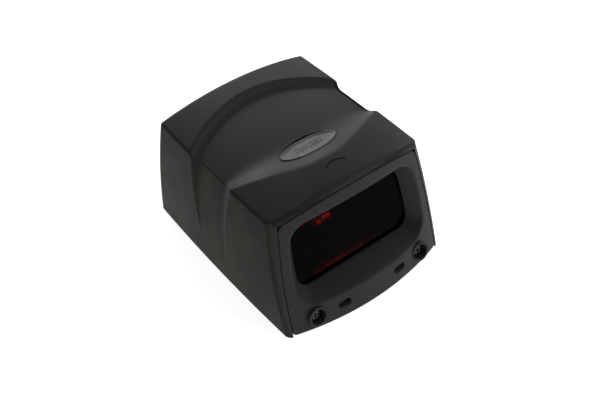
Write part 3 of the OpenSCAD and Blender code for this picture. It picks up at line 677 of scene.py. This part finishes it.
def blend_color(nodes, links, factor, a, b):
    """Mix of two colours, each a tuple or a socket."""
    node = add(nodes, "ShaderNodeMix", data_type="RGBA")
    if isinstance(factor, (int, float)):
        node.inputs[0].default_value = factor
    else:
        links.new(factor, node.inputs[0])
    for slot, value in ((node.inputs[6], a), (node.inputs[7], b)):
        if isinstance(value, tuple):
            slot.default_value = (*value, 1)
        else:
            links.new(value, slot)
    return node.outputs[2]


def bump(nodes, links, bsdf, height, strength, distance):
    node = add(nodes, "ShaderNodeBump")
    node.inputs["Strength"].default_value = strength
    node.inputs["Distance"].default_value = distance
    links.new(height, node.inputs["Height"])
    links.new(node.outputs["Normal"], bsdf.inputs["Normal"])


def shade(color, factor):
    return tuple(c * factor for c in color)


def moulded(name, color, rough=0.5, grain=2600, relief=0.25, mottle=0.25, specular=0.5):
    """Moulded plastic: a fine eroded grain, cloudy colour and uneven gloss."""
    mat, nodes, links, bsdf = new_material(name)
    coords = add(nodes, "ShaderNodeTexCoord").outputs["Object"]
    cloud = noise(nodes, links, coords, 55, 4)
    fine = noise(nodes, links, coords, 700, 3)
    cells = add(nodes, "ShaderNodeTexVoronoi", scale=grain)
    links.new(coords, cells.inputs["Vector"])
    tone = math_node(nodes, links, "ADD", remap(nodes, links, cloud, 0.35, 0.65, 0, 0.7),
                     remap(nodes, links, fine, 0.3, 0.7, 0, 0.3))
    surface = blend_color(nodes, links, tone, shade(color, 1 - mottle), shade(color, 1 + mottle))
    links.new(surface, bsdf.inputs["Base Color"])
    links.new(remap(nodes, links, tone, 0, 1, rough - 0.05, rough + 0.07), bsdf.inputs["Roughness"])
    height = math_node(nodes, links, "ADD", cells.outputs["Distance"],
                       math_node(nodes, links, "MULTIPLY", fine, 0.8))
    bump(nodes, links, bsdf, height, relief, 0.00006)
    bsdf.inputs["Specular IOR Level"].default_value = specular
    return mat, nodes, links, bsdf, coords, surface


def hood_material():
    """Aged charcoal plastic, cool on top; painted side light gives the flanks a lighter olive tint by
    their facing; smudged on the flanks, rubbed at the edges.
    """
    base = (0.0118, 0.0125, 0.0132)
    mat, nodes, links, bsdf, coords, surface = moulded("hood_plastic", base, 0.44, 2300, 0.3, 0.18, 0.3)
    geometry = add(nodes, "ShaderNodeNewGeometry")
    turned = add(nodes, "ShaderNodeTexCoord").outputs["Normal"]
    axis = add(nodes, "ShaderNodeSeparateXYZ")
    links.new(turned, axis.inputs[0])
    flank = remap(nodes, links, math_node(nodes, links, "ABSOLUTE", axis.outputs["X"], 0),
                  0.55, 0.9, 0, 1)
    smudge = noise(nodes, links, coords, 60, 6, (1, 1, 0.7))
    smudge = remap(nodes, links, smudge, 0.44, 0.66, 0, 1)
    streak = noise(nodes, links, coords, 330, 5, (1, 1, 0.12))
    streak = remap(nodes, links, streak, 0.52, 0.78, 0, 0.5)
    grime = math_node(nodes, links, "ADD", smudge, streak)
    # painted side light: surfaces facing sideways get a lighter olive tint, by their facing alone
    surface_with_painted_side_light = blend_color(nodes, links, math_node(nodes, links, "MULTIPLY", flank, 0.75), surface,
                        (0.021, 0.0205, 0.017))
    grimy = blend_color(nodes, links, math_node(nodes, links, "MULTIPLY", grime, flank),
                        surface_with_painted_side_light, (0.034, 0.0295, 0.0225))
    worn = remap(nodes, links, geometry.outputs["Pointiness"], 0.53, 0.62, 0, 0.6)
    scuffed = math_node(nodes, links, "MULTIPLY", worn,
                        remap(nodes, links, noise(nodes, links, coords, 160, 5), 0.4, 0.6, 0, 1))
    final = blend_color(nodes, links, scuffed, grimy, (0.05, 0.052, 0.054))
    links.new(final, bsdf.inputs["Base Color"])
    links.new(remap(nodes, links, flank, 0, 1, 0.3, 0.05), bsdf.inputs["Specular IOR Level"])
    return mat


def bezel_material():
    """Satin grey-black plastic, a little dusty in the recess."""
    base = (0.029, 0.0305, 0.032)
    mat, nodes, links, bsdf, coords, surface = moulded("bezel_plastic", base, 0.45, 2600, 0.22, 0.15, 0.16)
    dust = remap(nodes, links, noise(nodes, links, coords, 1500, 4), 0.62, 0.8, 0, 0.5)
    dusty = blend_color(nodes, links, dust, surface, (0.07, 0.07, 0.068))
    links.new(dusty, bsdf.inputs["Base Color"])
    return mat


def metal(name, color, rough=0.35, brush=(1, 1, 1), scale=900, relief=0.08):
    """Metal with fine brushing, uneven tone and roughness."""
    mat, nodes, links, bsdf = new_material(name)
    coords = add(nodes, "ShaderNodeTexCoord").outputs["Object"]
    lines = noise(nodes, links, coords, scale, 4, brush)
    cloud = noise(nodes, links, coords, 120, 3)
    tone = math_node(nodes, links, "MULTIPLY", math_node(nodes, links, "ADD", lines, cloud), 0.5)
    links.new(blend_color(nodes, links, tone, shade(color, 0.75), shade(color, 1.15)),
              bsdf.inputs["Base Color"])
    links.new(remap(nodes, links, lines, 0.3, 0.7, rough - 0.08, rough + 0.12),
              bsdf.inputs["Roughness"])
    bsdf.inputs["Metallic"].default_value = 1.0
    bump(nodes, links, bsdf, lines, relief, 0.00003)
    return mat


def badge_material():
    """Satin silver lacquer on the badge, pinkish where it has aged."""
    mat, nodes, links, bsdf = new_material("badge_silver")
    coords = add(nodes, "ShaderNodeTexCoord").outputs["Object"]
    cloud = remap(nodes, links, noise(nodes, links, coords, 220, 4), 0.38, 0.62, 0, 1)
    fine = noise(nodes, links, coords, 2600, 3)
    tone = blend_color(nodes, links, cloud, (0.078, 0.073, 0.073), (0.105, 0.095, 0.09))
    links.new(tone, bsdf.inputs["Base Color"])
    links.new(remap(nodes, links, fine, 0.3, 0.7, 0.36, 0.5), bsdf.inputs["Roughness"])
    bsdf.inputs["Metallic"].default_value = 0.35
    bump(nodes, links, bsdf, fine, 0.15, 0.00003)
    return mat


# middle of each painted red glint on the pane: x, and height up its lean
TOP_PAINTED_GLINT, LOW_PAINTED_GLINT, PAINTED_GLINT_SPOT = (-8, 42.4), (-4, 19.3), (-10, 39.2)


def window_material():
    """Dark red filter: polished, faintly smeared, with painted red glints along its edges and in one spot:
    brighter, less clear bands standing in for light reflected inside.
    """
    mat, nodes, links, bsdf = new_material("red_filter")
    coords = add(nodes, "ShaderNodeTexCoord").outputs["Object"]
    axis = add(nodes, "ShaderNodeSeparateXYZ")
    links.new(coords, axis.inputs[0])
    rise = add(nodes, "ShaderNodeVectorMath", operation="DOT_PRODUCT")
    links.new(coords, rise.inputs[0])
    rise.inputs[1].default_value = (0, math.sin(LEAN), math.cos(LEAN))
    foot = FRONT * math.sin(LEAN)

    def band(value, middle, half, soft):
        off = math_node(nodes, links, "SUBTRACT", value, middle * MM)
        off = math_node(nodes, links, "ABSOLUTE", off, 0)
        return remap(nodes, links, off, half * MM, (half + soft) * MM, 1, 0)

    uneven = remap(nodes, links, noise(nodes, links, coords, 420, 4), 0.38, 0.62, 0.15, 1)
    up, across = rise.outputs["Value"], axis.outputs["X"]
    # painted glints: a band below the top edge, a band above the bottom edge and one spot, each brighter
    # red and less clear
    top = math_node(nodes, links, "MULTIPLY", band(up, foot + TOP_PAINTED_GLINT[1], 0.45, 0.9),
                    band(across, TOP_PAINTED_GLINT[0], 9, 9))
    low = math_node(nodes, links, "MULTIPLY", band(up, foot + LOW_PAINTED_GLINT[1], 0.2, 1.2),
                    band(across, LOW_PAINTED_GLINT[0], 8, 10))
    spot = math_node(nodes, links, "MULTIPLY", band(up, foot + PAINTED_GLINT_SPOT[1], 0.8, 1.0),
                     band(across, PAINTED_GLINT_SPOT[0], 2.2, 2.2))
    # edges adds up the two painted glint bands
    edges = math_node(nodes, links, "ADD", top, math_node(nodes, links, "MULTIPLY", low, 0.5))
    painted_glint = math_node(nodes, links, "MAXIMUM", math_node(nodes, links, "MULTIPLY", edges, uneven),
                     math_node(nodes, links, "MULTIPLY", spot, uneven))
    links.new(blend_color(nodes, links, painted_glint, (0.12, 0.003, 0.003), (0.4, 0.012, 0.01)),
              bsdf.inputs["Base Color"])
    links.new(remap(nodes, links, painted_glint, 0, 1, 1, 0.1), bsdf.inputs["Transmission Weight"])
    smear = noise(nodes, links, coords, 90, 4)
    links.new(remap(nodes, links, smear, 0.35, 0.7, 0.0, 0.05), bsdf.inputs["Roughness"])
    bsdf.inputs["IOR"].default_value = 1.08
    return mat


def clear_material(name, color, rough=0.05):
    """Clear or smoked moulding and glass, with faint flow marks."""
    mat, nodes, links, bsdf = new_material(name)
    coords = add(nodes, "ShaderNodeTexCoord").outputs["Object"]
    flow = noise(nodes, links, coords, 300, 3)
    links.new(blend_color(nodes, links, flow, shade(color, 0.9), color), bsdf.inputs["Base Color"])
    links.new(remap(nodes, links, flow, 0.3, 0.7, rough, rough + 0.08), bsdf.inputs["Roughness"])
    bsdf.inputs["Transmission Weight"].default_value = 0.9
    bsdf.inputs["IOR"].default_value = 1.5
    return mat


def mirror_material():
    """Front-silvered mirror with a trace of dust."""
    mat, nodes, links, bsdf = new_material("mirror_silver")
    coords = add(nodes, "ShaderNodeTexCoord").outputs["Object"]
    dust = remap(nodes, links, noise(nodes, links, coords, 1400, 4), 0.6, 0.8, 0, 0.25)
    links.new(blend_color(nodes, links, dust, (0.86, 0.88, 0.9), (0.6, 0.6, 0.6)),
              bsdf.inputs["Base Color"])
    links.new(remap(nodes, links, dust, 0, 0.25, 0.02, 0.2), bsdf.inputs["Roughness"])
    bsdf.inputs["Metallic"].default_value = 1.0
    return mat


def board_material():
    """Green solder mask with traces and the weave showing through."""
    mat, nodes, links, bsdf = new_material("board_green")
    coords = add(nodes, "ShaderNodeTexCoord").outputs["Object"]
    traces = add(nodes, "ShaderNodeTexBrick", scale=260, mortar_size=0.04)
    links.new(coords, traces.inputs["Vector"])
    traces.inputs["Color1"].default_value = (0.012, 0.085, 0.035, 1)
    traces.inputs["Color2"].default_value = (0.016, 0.11, 0.045, 1)
    traces.inputs["Mortar"].default_value = (0.03, 0.17, 0.07, 1)
    weave = noise(nodes, links, coords, 1600, 2)
    links.new(blend_color(nodes, links, remap(nodes, links, weave, 0.3, 0.7, 0, 0.4),
                          traces.outputs["Color"], (0.02, 0.09, 0.04)),
              bsdf.inputs["Base Color"])
    links.new(remap(nodes, links, weave, 0.3, 0.7, 0.25, 0.4), bsdf.inputs["Roughness"])
    bump(nodes, links, bsdf, traces.outputs["Fac"], 0.2, 0.00004)
    return mat


def coil_material():
    """Wound enamelled wire."""
    mat, nodes, links, bsdf = new_material("coil_copper")
    coords = add(nodes, "ShaderNodeTexCoord").outputs["Object"]
    turns = add(nodes, "ShaderNodeTexWave", scale=900, distortion=0.6, bands_direction="Z")
    links.new(coords, turns.inputs["Vector"])
    links.new(blend_color(nodes, links, turns.outputs["Fac"], (0.18, 0.05, 0.02),
                          (0.6, 0.24, 0.1)), bsdf.inputs["Base Color"])
    links.new(remap(nodes, links, turns.outputs["Fac"], 0, 1, 0.45, 0.3),
              bsdf.inputs["Roughness"])
    bsdf.inputs["Metallic"].default_value = 0.85
    bump(nodes, links, bsdf, turns.outputs["Fac"], 0.6, 0.00008)
    return mat


def ribbon_material():
    """Amber film over parallel conductors."""
    mat, nodes, links, bsdf = new_material("ribbon_amber")
    coords = add(nodes, "ShaderNodeTexCoord").outputs["Object"]
    tracks = add(nodes, "ShaderNodeTexWave", scale=320, bands_direction="Y")
    links.new(coords, tracks.inputs["Vector"])
    links.new(blend_color(nodes, links, tracks.outputs["Fac"], (0.5, 0.2, 0.03),
                          (0.32, 0.1, 0.015)), bsdf.inputs["Base Color"])
    fine = noise(nodes, links, coords, 800, 3)
    links.new(remap(nodes, links, fine, 0.3, 0.7, 0.2, 0.34), bsdf.inputs["Roughness"])
    bump(nodes, links, bsdf, tracks.outputs["Fac"], 0.3, 0.00003)
    return mat


def slot_materials():
    """One procedural material for each material slot of the record."""
    black = (0.022, 0.022, 0.023)
    return {
        "housing_plastic": hood_material(),
        "base_plastic": moulded("base_plastic", (0.018, 0.018, 0.019), 0.52)[0],
        "bezel_plastic": bezel_material(),
        "seal_foam": moulded("seal_foam", (0.012, 0.012, 0.012), 0.85, 3500, 0.8)[0],
        "window_filter": window_material(),
        "black_screw": moulded("black_screw", (0.034, 0.034, 0.036), 0.33, 3000, 0.1, 0.15, 0.7)[0],
        "insert_brass": metal("insert_brass", (0.72, 0.5, 0.2), 0.3, (1, 1, 6)),
        "badge_silver": badge_material(),
        "light_guide": clear_material("light_guide", (0.12, 0.14, 0.15), 0.12),
        "board_green": board_material(),
        "led_white": moulded("led_white", (0.75, 0.72, 0.5), 0.35, 3000, 0.1, 0.1)[0],
        "zinc_screw": metal("zinc_screw", (0.62, 0.62, 0.6), 0.28),
        "ribbon_amber": ribbon_material(),
        "chip_black": moulded("chip_black", black, 0.55, 3200, 0.2)[0],
        "can_aluminium": metal("can_aluminium", (0.72, 0.73, 0.74), 0.32, (1, 6, 1)),
        "socket_ivory": moulded("socket_ivory", (0.62, 0.56, 0.42), 0.42, 3000, 0.15, 0.1)[0],
        "beeper_black": moulded("beeper_black", (0.014, 0.014, 0.015), 0.4, 2600, 0.15)[0],
        "contact_gold": metal("contact_gold", (0.85, 0.6, 0.22), 0.2, (1, 1, 1), 1500),
        "chassis_plastic": moulded("chassis_plastic", (0.02, 0.02, 0.022), 0.6, 1800, 0.3)[0],
        "isolator_rubber": moulded("isolator_rubber", (0.012, 0.012, 0.012), 0.75, 2500, 0.5)[0],
        "sleeve_bronze": metal("sleeve_bronze", (0.5, 0.3, 0.12), 0.45, (1, 1, 5), 1500, 0.3),
        "motor_steel": metal("motor_steel", (0.56, 0.57, 0.58), 0.3, (1, 1, 8)),
        "stator_iron": metal("stator_iron", (0.2, 0.21, 0.23), 0.45, (1, 1, 14), 1200, 0.4),
        "coil_copper": coil_material(),
        "magnet_ferrite": moulded("magnet_ferrite", (0.035, 0.035, 0.037), 0.55, 2400, 0.3)[0],
        "wheel_plastic": moulded("wheel_plastic", (0.024, 0.024, 0.026), 0.45)[0],
        "mirror_glass": mirror_material(),
        "lens_glass": clear_material("lens_glass", (0.85, 0.93, 0.97), 0.02),
        "filter_glass": clear_material("filter_glass", (0.6, 0.03, 0.03), 0.03),
    }


def dress(materials):
    """Gives each CAD node the material of its slot."""
    for part in frame["record"]["subparts"]:
        mesh = frame["nodes"][part["node"]].data
        mesh.materials.clear()
        mesh.materials.append(materials[part["material_slot"]])


def adopt(piece, slot, material, *nodes):
    """Hangs a new piece on the housing in place of its CAD nodes."""
    piece.data.materials.clear()
    piece.data.materials.append(material)
    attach(piece, "housing")
    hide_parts(*nodes)


# ---------------------------------------------------------------- stage, lights and camera
FLOOR_GLOW, WORLD = 0.86, 0.16          # radiance of the floor itself and of the surroundings


def build_stage():
    """Pale floor under the scanner, bright enough by itself to stay white."""
    floor = make_object("floor", [(-6000, -6000, 0), (6000, -6000, 0), (6000, 6000, 0),
                                  (-6000, 6000, 0)], [(0, 1, 2, 3)])
    mat, nodes, links, bsdf = new_material("floor_white")
    coords = add(nodes, "ShaderNodeTexCoord").outputs["Object"]
    cloud = noise(nodes, links, coords, 3, 2)
    links.new(blend_color(nodes, links, cloud, (0.86, 0.86, 0.86), (0.9, 0.9, 0.9)),
              bsdf.inputs["Base Color"])
    bsdf.inputs["Roughness"].default_value = 0.9
    bsdf.inputs["Specular IOR Level"].default_value = 0.1
    bsdf.inputs["Emission Color"].default_value = (1, 1, 1, 1)
    bsdf.inputs["Emission Strength"].default_value = FLOOR_GLOW
    floor.data.materials.append(mat)


def area_light(name, at, aim, size, power, color=(1, 1, 1)):
    """Square softbox at a point in metres, aimed at another."""
    data = bpy.data.lights.new(name, "AREA")
    data.size = size
    data.energy = power
    data.color = color
    obj = bpy.data.objects.new(name, data)
    obj.location = at
    obj.rotation_euler = (Vector(aim) - Vector(at)).to_track_quat("-Z", "Y").to_euler()
    bpy.context.scene.collection.objects.link(obj)


def build_lights():
    """Dim surroundings, softboxes behind the scanner, at its right, before it and above."""
    world = bpy.data.worlds.new("studio")
    world.use_nodes = True
    sky = world.node_tree.nodes["Background"]
    sky.inputs["Color"].default_value = (1, 1, 1, 1)
    sky.inputs["Strength"].default_value = WORLD
    bpy.context.scene.world = world
    aim = (0, 0, 0.03)
    area_light("back", (0.15, 0.45, 0.27), aim, 0.2, 0.24)
    area_light("rear_left", (0.05, 0.32, 0.16), aim, 0.2, 0.2)
    area_light("rear_right", (0.24, 0.3, 0.16), aim, 0.15, 0.14)
    area_light("right", (0.5, 0.08, 0.2), aim, 0.3, 0.7)
    area_light("front_right", (0.3, -0.35, 0.5), aim, 0.3, 0.6)
    area_light("above", (0.3, 0.0, 0.62), aim, 0.35, 0.22)


def build_camera():
    """Camera at the photograph's viewing angle."""
    azimuth, elevation, roll = map(math.radians, (-39.555, 44.776, 1.185))
    target, distance = Vector((0, 0.00275, 0.028)), 0.39397
    back = Vector((math.sin(azimuth) * math.cos(elevation),
                   -math.cos(azimuth) * math.cos(elevation), math.sin(elevation)))
    right = Vector((math.cos(azimuth), math.sin(azimuth), 0))
    up = back.cross(right)
    turned_right = right * math.cos(roll) + up * math.sin(roll)
    turned_up = up * math.cos(roll) - right * math.sin(roll)
    data = bpy.data.cameras.new("camera")
    data.sensor_width = 36.0
    data.lens = 59.84
    data.shift_x, data.shift_y = 0.00265, -0.0386
    data.clip_start, data.clip_end = 0.01, 50
    camera = bpy.data.objects.new("camera", data)
    turn = Matrix((turned_right, turned_up, back)).transposed().to_4x4()
    camera.matrix_world = Matrix.Translation(target + back * distance) @ turn
    bpy.context.scene.collection.objects.link(camera)
    bpy.context.scene.camera = camera


build_camera()
build_lights()
build_stage()
bpy.context.scene.view_settings.view_transform = "Standard"
finishes = slot_materials()
dress(finishes)
adopt(build_hood(), "housing_plastic", finishes["housing_plastic"], "top_housing")
adopt(build_bezel(), "bezel_plastic", finishes["bezel_plastic"], "front_bezel")
adopt(build_badge(), "badge_silver", finishes["badge_silver"], "badge_plate")
